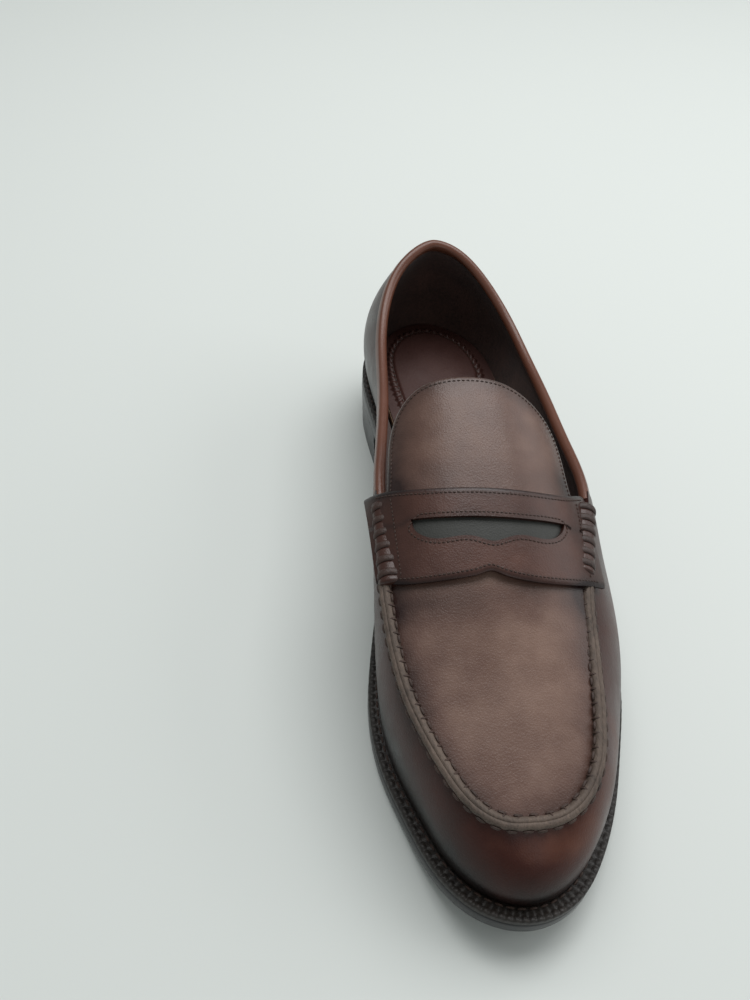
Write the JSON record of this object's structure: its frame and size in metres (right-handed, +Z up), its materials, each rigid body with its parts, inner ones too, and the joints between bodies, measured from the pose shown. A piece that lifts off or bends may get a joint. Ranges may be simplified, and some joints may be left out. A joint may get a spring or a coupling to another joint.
{
  "type": "penny loafer",
  "caption": "Low-cut slip-on leather shoe with a raised moccasin seam, a saddle strap with a coin slot, a welted sole and a stacked heel.",
  "frame": {"origin": "on the floor, under the middle of the shoe's bounding box", "axes": "+Z up, -Y towards the toe, +Y towards the heel, -X the medial side of this left shoe"},
  "size_m": [0.1041, 0.3025, 0.0996],
  "materials": {
    "sole_leather": "black edge-dyed sole leather, smooth burnished edge",
    "welt_leather": "black wheeled welt",
    "heel_stack": "black dyed stacked leather, polished",
    "rubber": "black rubber top piece",
    "steel": "plain steel",
    "cork": "granulated cork",
    "insole_board": "vegetable tanned insole",
    "sock_leather": "reddish brown smooth lining leather",
    "stiffener": "stiffening board",
    "lining_leather": "dark brown napped lining leather",
    "thread": "waxed brown thread",
    "seam_edge": "cut and layered leather edge",
    "strap_leather": "burnished brown calf",
    "backing_leather": "dark grey-green leather",
    "binding_leather": "smooth brown calf, rolled",
    "upper_leather": "burnished brown calf with a satin finish"
  },
  "bodies": {
    "root": {"apron": "upper_leather", "apron_lining": "lining_leather", "back_strip": "upper_leather", "beef_roll_lateral": "strap_leather", "beef_roll_medial": "strap_leather", "cork_filler": "cork", "heel_counter": "stiffener", "heel_lift_lower": "heel_stack", "heel_lift_middle": "heel_stack", "heel_lift_upper": "heel_stack", "heel_nails": "steel", "heel_pad": "sock_leather", "heel_top_piece": "rubber", "insole_board": "insole_board", "moccasin_seam": "seam_edge", "outsole": "sole_leather", "quarter_lateral": "upper_leather", "quarter_lining": "lining_leather", "quarter_medial": "upper_leather", "roll_lacing_lateral": "thread", "roll_lacing_medial": "thread", "seam_stitches": "thread", "shank": "steel", "side_stay_lateral": "stiffener", "side_stay_medial": "stiffener", "sock_liner": "sock_leather", "strap": "strap_leather", "strap_backing": "backing_leather", "strap_stitches": "thread", "toe_puff": "stiffener", "tongue_stitches": "thread", "topline_binding": "binding_leather", "vamp": "upper_leather", "vamp_lining": "lining_leather", "welt": "welt_leather", "welt_stitches": "thread"}
  },
  "joints": []
}
